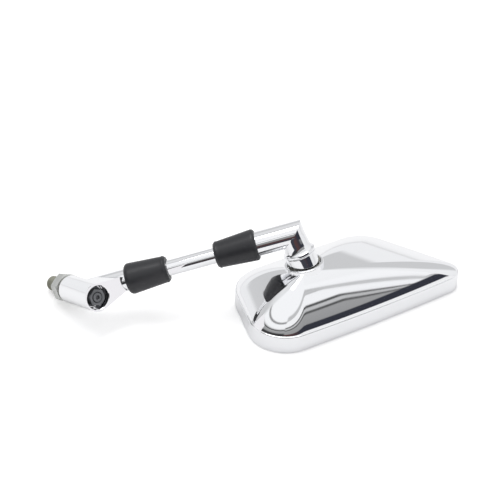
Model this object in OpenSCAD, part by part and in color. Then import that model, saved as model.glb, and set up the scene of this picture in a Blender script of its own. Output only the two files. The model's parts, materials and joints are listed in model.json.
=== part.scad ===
// Motorcycle mirror lying on its glass: a chromed four-sided domed head on a
// ball joint, an elbow, a straight arm with two rubber boots, and a knuckle
// that turns on a threaded spindle stud. Millimetres, +Z up, floor at Z = 0.

/* [Head outline] */
// Length of the front edge between its two sharp corners
front_edge = 163; // [150:1:180]
// Depth of the head from its front edge to its back edge
head_depth = 72; // [66:1:84]
// Angle between the front edge and the left edge
left_angle = 77.5; // [72:0.5:88]
// Angle between the front edge and the slanted right edge
right_angle = 61.4; // [56:0.5:75]
// Corner radius at the front left
corner_front_left = 23; // [16:1:26]
// Corner radius at the front right
corner_front_right = 10; // [8:1:16]
// Corner radius at the back right
corner_back_right = 24; // [16:1:28]
// Corner radius at the back left
corner_back_left = 22; // [16:1:26]
// How far each long side swells outwards at its middle
side_swell = 2.2; // [0:0.1:4]
// Turn of the head about the vertical, from the row's X axis
head_turn = 29.6; // [20:0.1:40]

/* [Head shell] */
// Height of the upright rim
rim_height = 13; // [10:0.5:16]
// Rise of the dome above the rim
dome_rise = 28; // [24:0.5:32]
// Distance of the dome's top from the left front corner, along the front edge
dome_top_along = 43.4; // [38:0.1:50]
// Distance of the dome's top behind the front edge
dome_top_behind = 23.7; // [20:0.1:32]
// How pointed the dome's top is: 1 is a cone, 2 is round
top_power = 1.3; // [1.1:0.05:1.8]
// How steeply the dome meets the rim: 1 is a slope, 0.5 is upright
foot_power = 0.8; // [0.6:0.05:1]
// Wall of the shell
shell_wall = 2.4; // [2:0.1:3]
// Ledge inside the rim that the glass backs on to
ledge_width = 3.4; // [2.5:0.1:5]

/* [Mirror glass] */
// Thickness of the glass
glass_thick = 3; // [2:0.1:4]
// Thickness of the foam pad behind the glass
pad_thick = 1; // [0.6:0.1:2]
// How far the glass lies behind the rim's foot
glass_recess = 1; // [0.5:0.1:2]
// Thickness of the rubber gasket round the glass
gasket_thick = 1.2; // [1:0.1:1.5]
// Play round the glass and the gasket
glass_play = 0.1; // [0.05:0.05:0.2]

/* [Ball joint] */
// Distance of the ball's centre from the left front corner, along the front edge
ball_along = 48.5; // [46:0.1:56]
// Distance of the ball's centre behind the front edge
ball_behind = 32.3; // [28:0.1:38]
// Height of the ball's centre above the floor
ball_height = 39.7; // [39:0.1:41]
// Radius of the ball and of its collar
ball_r = 9.9; // [9:0.1:10.5]
// Thickness of the liner between the ball and its socket
liner_thick = 1; // [0.8:0.1:1.5]
// Play on each side of the liner
liner_play = 0.3; // [0.2:0.05:0.4]
// Wall of the socket
socket_wall = 2.4; // [2:0.1:3]
// Height of the socket's lip above the ball's centre
lip_height = 0.8; // [0.4:0.1:1.5]
// Wall of the socket's lip
lip_wall = 1.4; // [1:0.1:2]
// Lean of the socket from the vertical
socket_lean = 13; // [8:1:16]
// Direction of that lean, from the row's X axis
socket_lean_turn = 140; // [120:1:160]
// Largest tilt of the head about the ball, from straight
tilt_limit = 17; // [14:1:18]
// How far the cup washer reaches past the socket's hole, in degrees
cup_cover = 10; // [8:1:12]
// Thickness of the cup washer
cup_thick = 1.8; // [1.4:0.1:2.2]
// Radius of the ball bolt
ball_bolt_r = 3; // [2.5:0.5:3.5]
// Length of the tension spring
spring_length = 7.5; // [6:0.5:8]
// Wire of the tension spring
spring_wire = 1.6; // [1.2:0.1:1.8]

/* [Elbow] */
// Lean of the elbow's post from the vertical
post_lean = 25.5; // [20:0.5:30]
// Direction of that lean, from the row's X axis
post_lean_turn = 148.1; // [130:0.5:165]
// Distance from the ball's centre to the arm's axis
post_length = 21.4; // [20:0.1:26]
// Radius of the elbow's socket for the arm
elbow_socket_r = 7.9; // [7.6:0.1:8.4]
// Length of that socket from the post's axis
elbow_socket_length = 33.5; // [32:0.5:40]
// Radius of the post at its top
post_top_r = 8; // [7.9:0.1:8.6]
// Radius of the post's foot
post_foot_r = 10.4; // [10:0.1:12]
// Thickness of the post's foot
post_foot_thick = 1.8; // [1.2:0.1:3]
// Groove between the post's foot and the collar
collar_groove = 0.3; // [0.2:0.05:0.5]

/* [Arm] */
// Length of the arm from the knuckle's axis to the post's axis
arm_length = 141.5; // [130:0.5:180]
// Slope of the arm, rising to the head
arm_rise = 15.97; // [13:0.05:18]
// Direction of the arm, from the row's X axis
arm_turn = 3.97; // [0:0.05:8]
// Radius of the arm rod
rod_r = 5.15; // [5:0.05:6]
// Radius of the rod's threaded ends
rod_thread_r = 4; // [3.5:0.5:4]
// Length of thread screwed into each socket
rod_thread_depth = 16; // [12:1:20]
// Width across the flats of the jam nuts
jam_nut_flats = 13; // [12:0.5:13]
// Thickness of the jam nuts
jam_nut_thick = 5; // [4:0.5:6]

/* [Rubber boots] */
// Length of a boot
boot_length = 27.5; // [26:0.5:32]
// Radius of a boot at its wide end
boot_wide_r = 10.4; // [10:0.1:12]
// Radius of a boot at its narrow end
boot_narrow_r = 8.5; // [8:0.1:9.5]
// Rounding of a boot's wide end
boot_round = 2.2; // [1.5:0.1:3]
// Length of a boot that grips its socket
boot_grip = 10.5; // [8:0.5:12]
// Length of a boot's narrow end that grips the rod
boot_collar = 8; // [6:0.5:9]
// Rounding of a boot's narrow end
boot_lip = 1.6; // [1.2:0.1:1.8]
// Taper between a boot's room and its collar
boot_step = 2; // [1.5:0.1:3]
// Distance from a boot's narrow end to where its taper stops
boot_waist_back = 3.4; // [3:0.1:4]
// How much wider a boot is where its taper stops than at its end
boot_waist_swell = 0.15; // [0.05:0.05:0.4]

/* [Knuckle] */
// Distance from the arm's axis to the knuckle's front face
knuckle_front = 23.5; // [20:0.5:28]
// Length of the knuckle's barrel
barrel_length = 37.6; // [34:0.2:44]
// Radius of the barrel
barrel_r = 9.1; // [8.8:0.1:10]
// Radius of the recess in the front face
recess_r = 7.6; // [7.2:0.1:7.7]
// Depth of the recess
recess_depth = 9; // [8.5:0.1:10]
// Radius of the neck that holds the arm
neck_r = 7.2; // [6.8:0.1:7.6]
// Length of the neck from the barrel's axis
neck_length = 42; // [40:0.5:46]
// Turn of the barrel about the vertical, from the row's X axis
barrel_turn = -50.9; // [-60:0.1:-45]
// Thickness of the web between barrel and neck
web_thick = 15; // [12:0.5:20]
// Reach of the web from the barrel's axis
web_reach = 17; // [14:0.5:20]
// Radius of the web's far end
web_end_r = 5.6; // [5:0.1:6.5]

/* [Spindle stud] */
// Radius of the stud's thread
stud_r = 5; // [4:0.5:5]
// Whole length of the stud behind the knuckle's front face
stud_length = 65.8; // [60:0.2:76]
// How much lower the thread's crests are at its run-out
thread_runout = 0.2; // [0.18:0.01:0.3]
// Radius of the stud's threaded front end
stud_tip_r = 3; // [2.5:0.5:3]
// Thickness of the stud's flange
flange_thick = 2.5; // [2:0.1:3]
// Radius of the stud's flange
flange_r = 7.4; // [7:0.1:8]
// Width across the flats of the lock nut
lock_nut_flats = 17; // [15:0.5:18]
// Thickness of the lock nut
lock_nut_thick = 8; // [5:0.5:9]
// Width across the flats of the small nuts
small_nut_flats = 10; // [9:0.5:10]
// Thickness of the small nuts
small_nut_thick = 5; // [4:0.5:5.5]
// Thickness of the flat washers
washer_thick = 1.2; // [1:0.1:1.6]
// Radius of the flat washers
washer_r = 6; // [5.6:0.1:6.4]
// Running clearance of every shaft in its bore
running_play = 0.05; // [0.02:0.01:0.08]

/* [Hidden] */
$fn = 64;

// Row position of the ball's centre
ball_x = 32.714;
ball_y = -13.612;
// Small overlap that keeps cuts clean
cut = 1;

function unit(v) = v / norm(v);
function heading(lean, turn) = [sin(lean) * cos(turn), sin(lean) * sin(turn), cos(lean)];

// Directions and centres, from the ball back to the stud
post_up = heading(post_lean, post_lean_turn);
socket_up = heading(socket_lean, socket_lean_turn);
arm_dir = [cos(arm_rise) * cos(arm_turn), cos(arm_rise) * sin(arm_turn), sin(arm_rise)];
ball_at = [ball_x, ball_y, ball_height];
elbow_at = ball_at + post_length * post_up;
knuckle_at = elbow_at - arm_length * arm_dir;
// The barrel leans back until the stud's end meets the floor
stud_back = stud_length - knuckle_front;
stud_chamfer = 1.2;
stud_touch = stud_back - stud_chamfer;
barrel_rise = asin(knuckle_at.z / norm([stud_touch, stud_r])) - atan(stud_r / stud_touch);
barrel_dir = [
    cos(barrel_rise) * cos(barrel_turn),
    cos(barrel_rise) * sin(barrel_turn),
    sin(barrel_rise)
];

// Moves children to a point, their Z along a direction and their X near a hint
module place(at, z_dir, x_hint) {
    z = unit(z_dir);
    y = unit(cross(z, x_hint));
    x = cross(y, z);
    multmatrix([
        [x.x, y.x, z.x, at.x],
        [x.y, y.y, z.y, at.y],
        [x.z, y.z, z.z, at.z],
        [0, 0, 0, 1]
    ]) children();
}
module on_barrel() place(knuckle_at, barrel_dir, arm_dir) children();
module on_arm() place(knuckle_at, arm_dir, [0, 0, 1]) children();
module on_post() place(elbow_at, post_up, arm_dir) children();
module on_ball() place(ball_at, post_up, arm_dir) children();
module on_socket() place(ball_at, socket_up, arm_dir) children();
module on_head() translate([ball_x, ball_y, 0]) rotate([0, 0, head_turn]) children();

// Solid ring or disc between two heights
module disc(r, low, high) translate([0, 0, low]) cylinder(r = r, h = high - low);
module hexagon(flats, low, high)
    translate([0, 0, low]) cylinder(r = flats / 2 / cos(30), h = high - low, $fn = 6);
// Hexagon nut with chamfered corners and a clear bore
module hex_nut(flats, bore, low, high) {
    corner = flats / 2 / cos(30);
    bevel = corner - flats / 2;
    rise = bevel * 0.55;
    difference() {
        intersection() {
            hexagon(flats, low, high);
            rotate_extrude() polygon([
                [0, low], [corner - bevel, low], [corner, low + rise],
                [corner, high - rise], [corner - bevel, high], [0, high]
            ]);
        }
        disc(bore, low - cut, high + cut);
    }
}
module flat_washer(r, bore, low, high) difference() {
    disc(r, low, high);
    disc(bore, low - cut, high + cut);
}
// Points of a quarter circle from one angle to another
function arc(centre, r, from, to, steps) = [
    for (i = [0:steps]) centre + r * [cos(from + (to - from) * i / steps), sin(from + (to - from) * i / steps)]
];

/* Head outline */
// Sharp corners, counted from the front left, in the head's own plan
left_shift = head_depth / tan(left_angle);
right_shift = head_depth / tan(right_angle);
sharp = [
    [-ball_along, -ball_behind],
    [front_edge - ball_along, -ball_behind],
    [front_edge - right_shift - ball_along, head_depth - ball_behind],
    [left_shift - ball_along, head_depth - ball_behind]
];
corner_radius = [corner_front_left, corner_front_right, corner_back_right, corner_back_left];
corner_steps = 7;
side_steps = [9, 4, 7, 4];
dome_top = [dome_top_along - ball_along, dome_top_behind - ball_behind];
middle = (sharp[0] + sharp[1] + sharp[2] + sharp[3]) / 4;
half_along = front_edge / 2;
half_behind = head_depth / 2;

function next(i) = (i + 1) % 4;
function before(i) = (i + 3) % 4;
// Corner moved inwards by the same distance from both of its sides
function inset_corner(i, inset) =
    let (a = unit(sharp[next(i)] - sharp[i]), b = unit(sharp[before(i)] - sharp[i]))
    sharp[i] + inset / norm(cross([a.x, a.y, 0], [b.x, b.y, 0])) * (a + b);
// Corner drawn towards the dome's top by a share of the way
function drawn_corner(i, inset, share) = dome_top + share * (inset_corner(i, inset) - dome_top);
// The sides swell outwards, most at their middles
function swell(p) =
    let (q = p - middle)
    middle + [
        q.x * (1 + side_swell / half_along / 2 * (1 - pow(q.y / half_behind, 2))),
        q.y * (1 + side_swell / half_behind * (1 - pow(q.x / half_along, 2)))
    ];
// Rounded outline of four arcs and four sides
function ring(inset, share = 1) = [
    for (i = [0:3])
        let (
            here = drawn_corner(i, inset, share),
            a = unit(drawn_corner(next(i), inset, share) - here),
            b = unit(drawn_corner(before(i), inset, share) - here),
            half = acos(a * b) / 2,
            r = max(corner_radius[i] - inset, 1) * share,
            centre = here + r / sin(half) * unit(a + b),
            start = atan2(b.y, b.x) + 90,
            sweep = 180 - 2 * half,
            j = next(i),
            there = drawn_corner(j, inset, share),
            c = unit(drawn_corner(next(j), inset, share) - there),
            half_j = acos(c * -a) / 2,
            r_j = max(corner_radius[j] - inset, 1) * share,
            leave = here + r / tan(half) * a,
            arrive = there - r_j / tan(half_j) * a
        )
        each concat(
            [for (k = [0:corner_steps])
                let (turn = start + sweep * k / corner_steps)
                swell(centre + r * [cos(turn), sin(turn)])],
            [for (k = [1:side_steps[i] - 1]) swell(leave + (arrive - leave) * k / side_steps[i])]
        )
];
function dome_height(share, rise) = rise * pow(1 - pow(share, top_power), foot_power);
function lifted(points, z) = [for (p = points) [p.x, p.y, z]];

/* Spindle stud and its hardware */
barrel_back = knuckle_front - barrel_length;
recess_floor = knuckle_front - recess_depth;
disc_spring_height = 1.7;
washer_low = recess_floor + disc_spring_height;
pivot_nut_low = washer_low + washer_thick;
stud_tip_end = pivot_nut_low + small_nut_thick + 0.4;
flange_front = barrel_back - 0.1;
flange_back = flange_front - flange_thick;
lock_nut_front = flange_back - 0.4;
lock_nut_back = lock_nut_front - lock_nut_thick;
// The lock nut grips the thread's run-out, whose crests are not full
runout_r = stud_r - thread_runout;
runout_back = lock_nut_back;

module stud() color("darkkhaki") on_barrel() difference() {
    rotate_extrude() polygon([
        [0, -stud_back], [stud_r - stud_chamfer, -stud_back], [stud_r, -stud_touch],
        [stud_r, runout_back], [runout_r, runout_back], [runout_r, flange_back],
        [flange_r, flange_back], [flange_r, flange_front],
        [stud_r, flange_front], [stud_r, recess_floor], [stud_tip_r, recess_floor],
        [stud_tip_r, stud_tip_end - 0.5], [stud_tip_r - 0.5, stud_tip_end], [0, stud_tip_end]
    ]);
    translate([0, 0, stud_tip_end - 1.6]) cylinder(r1 = 0.2, r2 = 1.4, h = 1.7);
}
module lock_nut() color("silver") on_barrel()
    hex_nut(lock_nut_flats, runout_r + running_play, lock_nut_back, lock_nut_front);
module disc_spring() color("dimgray") on_barrel() rotate_extrude() polygon([
    [stud_tip_r + 0.2, washer_low - 0.9], [stud_tip_r + 0.2, washer_low],
    [washer_r + 0.8, recess_floor + 0.9], [washer_r + 0.8, recess_floor]
]);
module pivot_washer() color("gray") on_barrel()
    flat_washer(washer_r, stud_tip_r + 0.2, washer_low, pivot_nut_low);
module pivot_nut() color("dimgray") on_barrel()
    hex_nut(small_nut_flats, stud_tip_r + running_play, pivot_nut_low, pivot_nut_low + small_nut_thick);

/* Knuckle */
lower_socket_end = neck_length;
upper_socket_end = arm_length - elbow_socket_length;
// Tangent points of the web's two outlines, seen along the barrel
web_lean = asin((barrel_r - web_end_r) / web_reach);

module web() translate([0, 0, knuckle_front - web_thick]) linear_extrude(web_thick) {
    translate([web_reach, 0]) circle(web_end_r);
    polygon([
        barrel_r * [sin(web_lean), cos(web_lean)],
        [web_reach, 0] + web_end_r * [sin(web_lean), cos(web_lean)],
        [web_reach, 0] + web_end_r * [sin(web_lean), -cos(web_lean)],
        barrel_r * [sin(web_lean), -cos(web_lean)]
    ]);
}
module knuckle() color("gainsboro") difference() {
    union() {
        on_barrel() {
            rotate_extrude() polygon(concat(
                [[0, barrel_back]],
                [[barrel_r - 0.6, barrel_back], [barrel_r, barrel_back + 0.6]],
                [[barrel_r, knuckle_front - 0.5], [barrel_r - 0.5, knuckle_front]],
                [[0, knuckle_front]]
            ));
            web();
        }
        on_arm() disc(neck_r, 0, neck_length);
    }
    on_barrel() {
        disc(stud_r + running_play, barrel_back - cut, recess_floor + cut);
        disc(recess_r, recess_floor, knuckle_front + cut + neck_r);
    }
    on_arm() disc(rod_thread_r + running_play, neck_length - rod_thread_depth - 1, neck_length + cut);
}

/* Arm rod, jam nuts and boots */
rod_low = lower_socket_end + jam_nut_thick + 3;
rod_high = upper_socket_end - jam_nut_thick - 3;

module arm_rod() color("gainsboro") on_arm() rotate_extrude() polygon([
    [0, lower_socket_end - rod_thread_depth], [rod_thread_r - 0.8, lower_socket_end - rod_thread_depth],
    [rod_thread_r, lower_socket_end - rod_thread_depth + 0.8], [rod_thread_r, rod_low],
    [rod_r - 0.5, rod_low], [rod_r, rod_low + 0.5], [rod_r, rod_high - 0.5], [rod_r - 0.5, rod_high],
    [rod_thread_r, rod_high], [rod_thread_r, upper_socket_end + rod_thread_depth - 0.8],
    [rod_thread_r - 0.8, upper_socket_end + rod_thread_depth], [0, upper_socket_end + rod_thread_depth]
]);
module jam_nut(low)
    hex_nut(jam_nut_flats, rod_thread_r + running_play, low, low + jam_nut_thick);
module lower_jam_nut() color("silver") on_arm() jam_nut(lower_socket_end + 0.1);
module upper_jam_nut() color("silver") on_arm() jam_nut(upper_socket_end - jam_nut_thick - 0.1);

// Boot drawn with its wide end at the origin and its narrow end up the axis
boot_play = 0.1;
boot_room_r = jam_nut_flats / 2 / cos(30) + 0.2;
boot_mouth_flat = 0.2;
module boot(socket_r) {
    mouth_r = socket_r + boot_play;
    // The rounding leaves a narrow flat at the mouth
    turn_r = min(boot_round, boot_wide_r - mouth_r - boot_mouth_flat);
    rotate_extrude() polygon(concat(
        [[mouth_r, 0]],
        arc([boot_wide_r - turn_r, turn_r], turn_r, -90, 0, 6),
        [[boot_narrow_r + boot_waist_swell, boot_length - boot_waist_back]],
        arc([boot_narrow_r - boot_lip / 2, boot_length - boot_lip], boot_lip, 0, 90, 4),
        [[rod_r + boot_play, boot_length], [rod_r + boot_play, boot_length - boot_collar]],
        [[boot_room_r, boot_length - boot_collar - boot_step], [boot_room_r, boot_grip + 1], [mouth_r, boot_grip]]
    ));
}
lower_boot_low = lower_socket_end - boot_grip;
upper_boot_high = upper_socket_end + boot_grip;
module lower_boot() color("#2b2d31") on_arm() translate([0, 0, lower_boot_low]) boot(neck_r);
module upper_boot() color("#2b2d31") on_arm()
    translate([0, 0, upper_boot_high]) mirror([0, 0, 1]) boot(elbow_socket_r);

/* Elbow */
post_foot_low = -(post_length - ball_r * 0.8);
post_foot_high = post_foot_low + post_foot_thick;
flare_r = 5;
post_waist_r = post_top_r + 0.4;
bolt_in_post = 10.5;
module elbow() color("gainsboro") difference() {
    union() {
        on_post() rotate_extrude() polygon(concat(
            [[0, post_foot_low], [post_foot_r - 0.4, post_foot_low]],
            [[post_foot_r, post_foot_low + 0.4], [post_foot_r, post_foot_high]],
            [for (turn = [0:15:75])
                [post_foot_r - (post_foot_r - post_waist_r) * sin(turn + 15),
                 post_foot_high + flare_r * (1 - cos(turn + 15))]],
            [[post_top_r, elbow_socket_r - 0.9], [post_top_r - 0.9, elbow_socket_r]],
            [[0, elbow_socket_r]]
        ));
        on_arm() disc(elbow_socket_r, upper_socket_end, arm_length);
    }
    on_arm() disc(rod_thread_r + running_play, upper_socket_end - cut, upper_socket_end + rod_thread_depth + 1);
    on_post() disc(ball_bolt_r + running_play, post_foot_low - cut, post_foot_low + bolt_in_post);
}

/* Ball joint */
ball_flat = ball_r * 0.86;
collar_high = post_length + post_foot_low - collar_groove;
liner_in = ball_r + liner_play;
liner_out = liner_in + liner_thick;
socket_r = liner_out + liner_play;
socket_out = socket_r + socket_wall;
lip_r = socket_r - 0.2;
lip_out = lip_r + lip_wall;
// Height at which the lip's cylinder meets the outside of the socket's bowl
skirt_low = -sqrt(pow(socket_out, 2) - pow(lip_out, 2));
hole_r = ball_bolt_r + socket_out * tan(tilt_limit) + 0.3;
liner_low = -sqrt(pow(liner_out, 2) - pow(hole_r, 2)) + 0.2;
liner_high = -ball_r * sin(tilt_limit) - 0.3;
spring_r = ball_bolt_r + spring_wire / 2 + 1;
cup_r = socket_out + liner_play;
cup_washer_r = cup_r * sin(asin(hole_r / socket_out) + cup_cover);
// Hub of the cup washer that the spring bears on
cup_hub_r = spring_r + spring_wire / 2 + 0.6;
cup_low = -cup_r - cup_thick;
spring_low = cup_low - spring_length;
spring_washer_low = spring_low - washer_thick;
ball_nut_low = spring_washer_low - small_nut_thick;
bolt_low = ball_nut_low - 1;
spring_turns = 3.5;

module swivel_ball() color("gainsboro") on_ball() difference() {
    union() {
        rotate_extrude() intersection() {
            circle(ball_r);
            translate([0, -ball_flat]) square([ball_r + cut, ball_flat]);
        }
        rotate_extrude() polygon([
            [0, -0.01], [ball_r, -0.01], [ball_r, collar_high - 0.4],
            [ball_r - 0.4, collar_high], [0, collar_high]
        ]);
    }
    disc(ball_bolt_r + running_play, -ball_r - cut, collar_high + cut);
}
module seat_liner() color("ivory") on_socket() rotate_extrude() intersection() {
    difference() {
        circle(liner_out);
        circle(liner_in);
    }
    translate([0, liner_low]) square([liner_out + cut, liner_high - liner_low]);
}
module ball_bolt() color("gray") on_ball()
    disc(ball_bolt_r, bolt_low, collar_high + collar_groove + bolt_in_post - 1);
module cup_washer() color("gray") on_ball() rotate_extrude() intersection() {
    difference() {
        union() {
            circle(cup_r + cup_thick);
            translate([0, cup_low]) square([cup_hub_r, cup_thick]);
        }
        circle(cup_r);
    }
    translate([ball_bolt_r + 0.2, cup_low]) square([cup_washer_r - ball_bolt_r - 0.2, -cup_low]);
}
module spring_washer() color("silver") on_ball()
    flat_washer(washer_r + 1, ball_bolt_r + 0.2, spring_washer_low, spring_low);
module ball_nut() color("silver") on_ball()
    hex_nut(small_nut_flats, ball_bolt_r + running_play, ball_nut_low, spring_washer_low);

// Coil swept as one closed tube
spring_sides = 8;
spring_rings = 56;
module tension_spring() color("dimgray") on_ball() {
    pitch = (spring_length - spring_wire) / spring_turns;
    points = [
        for (i = [0:spring_rings])
            let (
                turn = 360 * spring_turns * i / spring_rings,
                z = spring_low + spring_wire / 2 + pitch * turn / 360
            )
            for (k = [0:spring_sides - 1])
                let (
                    a = 360 * k / spring_sides,
                    r = spring_r + spring_wire / 2 * cos(a)
                )
                [r * cos(turn), r * sin(turn), z + spring_wire / 2 * sin(a)]
    ];
    faces = concat(
        [[for (k = [spring_sides - 1:-1:0]) k]],
        [for (i = [0:spring_rings - 1], k = [0:spring_sides - 1])
            let (a = i * spring_sides + k, b = i * spring_sides + (k + 1) % spring_sides)
            [a, b, b + spring_sides, a + spring_sides]],
        [[for (k = [0:spring_sides - 1]) spring_rings * spring_sides + k]]
    );
    polyhedron(points, faces, convexity = 6);
}

/* Head shell, one loft from the inner top over the foot to the outer top */
glass_room = glass_recess + glass_thick + pad_thick;
rim_edge = 0.9;
inner_rise = dome_rise - 1.2;
inner_base = rim_height - 1.6;
outer_shares = [1, 0.985, 0.95, 0.9, 0.83, 0.74, 0.63, 0.51, 0.38, 0.25, 0.12];
inner_shares = [0.15, 0.35, 0.55, 0.75, 0.9, 1];
inner_inset = shell_wall + ledge_width;
shell_rings = concat(
    [for (s = inner_shares) lifted(ring(shell_wall + 0.8, s), inner_base + dome_height(s, inner_rise))],
    [
        lifted(ring(shell_wall + 0.8), glass_room + 2.4),
        lifted(ring(inner_inset), glass_room + 1.2),
        lifted(ring(inner_inset), glass_room),
        lifted(ring(shell_wall), glass_room),
        lifted(ring(shell_wall), 0),
        lifted(ring(0.5), 0),
        lifted(ring(0), 0.5),
        lifted(ring(0.3), rim_height - rim_edge),
        lifted(ring(0.6), rim_height - 0.2)
    ],
    [for (s = outer_shares) lifted(ring(rim_edge, s), rim_height + dome_height(s, dome_rise))]
);
ring_size = len(shell_rings[0]);
ring_count = len(shell_rings);
module lofted_shell() {
    inner_top = [dome_top.x, dome_top.y, inner_base + inner_rise];
    outer_top = [dome_top.x, dome_top.y, rim_height + dome_rise];
    points = concat([for (loop = shell_rings) each loop], [inner_top, outer_top]);
    last = (ring_count - 1) * ring_size;
    faces = concat(
        [for (k = [0:ring_size - 1]) [ring_count * ring_size, k, (k + 1) % ring_size]],
        [for (i = [0:ring_count - 2], k = [0:ring_size - 1])
            let (a = i * ring_size + k, b = i * ring_size + (k + 1) % ring_size)
            each [[a, b + ring_size, b], [a, a + ring_size, b + ring_size]]],
        [for (k = [0:ring_size - 1]) [ring_count * ring_size + 1, last + (k + 1) % ring_size, last + k]]
    );
    polyhedron(points, faces, convexity = 6);
}
module head_shell() color("gainsboro") difference() {
    union() {
        on_head() lofted_shell();
        on_socket() {
            rotate_extrude() polygon([
                [0, skirt_low], [lip_out, skirt_low], [lip_out, lip_height - 0.4],
                [lip_out - 0.4, lip_height], [0, lip_height]
            ]);
            rotate_extrude() intersection() {
                circle(socket_out);
                translate([0, -socket_out]) square([socket_out, socket_out + skirt_low]);
            }
        }
    }
    on_socket() {
        rotate_extrude() intersection() {
            circle(socket_r);
            translate([0, -socket_r]) square([socket_r, 2 * socket_r]);
        }
        disc(lip_r, liner_high + 0.1, lip_height + 6);
        disc(hole_r, -socket_out - cut, 0);
    }
}

/* Glass, pad and gasket */
gasket_inset = shell_wall + glass_play;
glass_inset = gasket_inset + gasket_thick + glass_play;
module head_plate(inset, low, high) translate([0, 0, low]) linear_extrude(high - low) polygon(ring(inset));
module mirror_glass() color("lightsteelblue") on_head()
    head_plate(glass_inset, glass_recess, glass_recess + glass_thick);
module backing_pad() color("dimgray") on_head()
    head_plate(glass_inset, glass_recess + glass_thick, glass_room);
module glass_gasket() color("#202022") on_head() difference() {
    head_plate(gasket_inset, 0.2, glass_room);
    head_plate(gasket_inset + gasket_thick, 0.2 - cut, glass_room + cut);
}

stud();
lock_nut();
knuckle();
disc_spring();
pivot_washer();
pivot_nut();
arm_rod();
lower_jam_nut();
upper_jam_nut();
lower_boot();
upper_boot();
elbow();
ball_bolt();
cup_washer();
tension_spring();
spring_washer();
ball_nut();
swivel_ball();
seat_liner();
head_shell();
glass_gasket();
backing_pad();
mirror_glass();
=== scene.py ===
"""Chromed motorcycle mirror lying on its glass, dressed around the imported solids.

Lengths in the dataclasses are millimetres, as on a drawing. Meshes are made in a
local frame in millimetres and then laid into the shared frame, in metres.
"""

import json
import logging
import math
from dataclasses import dataclass
from enum import Enum
from typing import Iterable, Mapping, Sequence

import bmesh
import bpy
from bmesh.types import BMEdge, BMesh, BMVert
from bpy.types import Material, Node, NodeSocket, NodeTree, Object, World
from mathutils import Matrix, Vector


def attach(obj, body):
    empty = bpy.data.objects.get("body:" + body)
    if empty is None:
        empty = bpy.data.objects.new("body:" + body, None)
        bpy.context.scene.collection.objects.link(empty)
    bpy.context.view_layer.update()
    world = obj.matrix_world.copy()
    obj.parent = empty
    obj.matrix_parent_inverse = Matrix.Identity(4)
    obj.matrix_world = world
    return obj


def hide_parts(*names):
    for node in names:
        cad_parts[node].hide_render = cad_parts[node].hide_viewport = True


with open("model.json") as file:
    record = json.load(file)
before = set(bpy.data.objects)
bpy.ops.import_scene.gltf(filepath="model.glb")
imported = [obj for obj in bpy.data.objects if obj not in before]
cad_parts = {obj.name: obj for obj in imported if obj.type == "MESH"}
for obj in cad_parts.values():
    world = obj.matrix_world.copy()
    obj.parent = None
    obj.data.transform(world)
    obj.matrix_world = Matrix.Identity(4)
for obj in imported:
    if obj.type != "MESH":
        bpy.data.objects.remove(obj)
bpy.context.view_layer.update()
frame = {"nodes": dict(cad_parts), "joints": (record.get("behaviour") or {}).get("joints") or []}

MM = 0.001
NEAR = 1e-4  # points nearer than this, in millimetres, are one
QUARTER = math.pi / 2
UP = Vector((0, 0, 1))
log = logging.getLogger("mirror")

Point2 = tuple[float, float]
Colour = tuple[float, float, float]


class Cut(Enum):
    """How one solid changes another."""

    ADD = "UNION"
    TAKE = "DIFFERENCE"
    KEEP = "INTERSECT"


@dataclass(frozen=True)
class Place:
    """A turned place in the shared frame: a centre, and where its Z and X point."""

    centre: Vector
    z_dir: Vector
    x_hint: Vector

    def matrix(self) -> Matrix:
        """Work out how local millimetres become metres in the shared frame.

        Returns:
            The matrix.
        """
        z = self.z_dir.normalized()
        y = z.cross(self.x_hint).normalized()
        turn = Matrix((y.cross(z), y, z)).transposed().to_4x4()
        return Matrix.Translation(self.centre) @ turn @ Matrix.Scale(MM, 4)

    def within(self, other: "Place") -> Matrix:
        """Return the matrix from this place's millimetres to another place's."""
        return other.matrix().inverted() @ self.matrix()


def joint_axis(name: str) -> tuple[Vector, Vector]:
    """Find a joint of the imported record.

    Args:
        name: the joint's name.

    Returns:
        Its point in metres and its unit axis.
    """
    joint = next(j for j in frame["joints"] if j["name"] == name)
    return Vector(joint["pos_m"]), Vector(joint["axis"]).normalized()


@dataclass(frozen=True)
class Layout:
    """The places that the sub-assemblies are built on, read from the joints."""

    barrel: Place
    arm: Place
    post: Place
    ball: Place
    socket: Place
    head: Place
    arm_length: float

    @classmethod
    def from_joints(cls, head_turn: float) -> "Layout":
        """Work the places out from the record's joints.

        Args:
            head_turn: turn of the head about the vertical, in degrees.

        Returns:
            The layout.
        """
        knuckle_at, barrel_dir = joint_axis("base_pivot")
        _, arm_dir = joint_axis("arm_twist")
        elbow_at, _ = joint_axis("elbow_twist")
        ball_at, post_up = joint_axis("head_swivel")
        _, socket_up = joint_axis("head_spin")
        turn = math.radians(head_turn)
        head_x = Vector((math.cos(turn), math.sin(turn), 0))
        return cls(
            barrel=Place(knuckle_at, barrel_dir, arm_dir),
            arm=Place(knuckle_at, arm_dir, UP),
            post=Place(elbow_at, post_up, arm_dir),
            ball=Place(ball_at, post_up, arm_dir),
            socket=Place(ball_at, socket_up, arm_dir),
            head=Place(Vector((ball_at.x, ball_at.y, 0)), UP, head_x),
            arm_length=(elbow_at - knuckle_at).length / MM,
        )


# Mesh work


def new_object(name: str, bm: BMesh) -> Object:
    """Turn a bmesh into a linked object and free it.

    Args:
        name: the object's name.
        bm: the bmesh.

    Returns:
        The object, at the origin.
    """
    mesh = bpy.data.meshes.new(name)
    bm.to_mesh(mesh)
    bm.free()
    obj = bpy.data.objects.new(name, mesh)
    bpy.context.scene.collection.objects.link(obj)
    return obj


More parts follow.
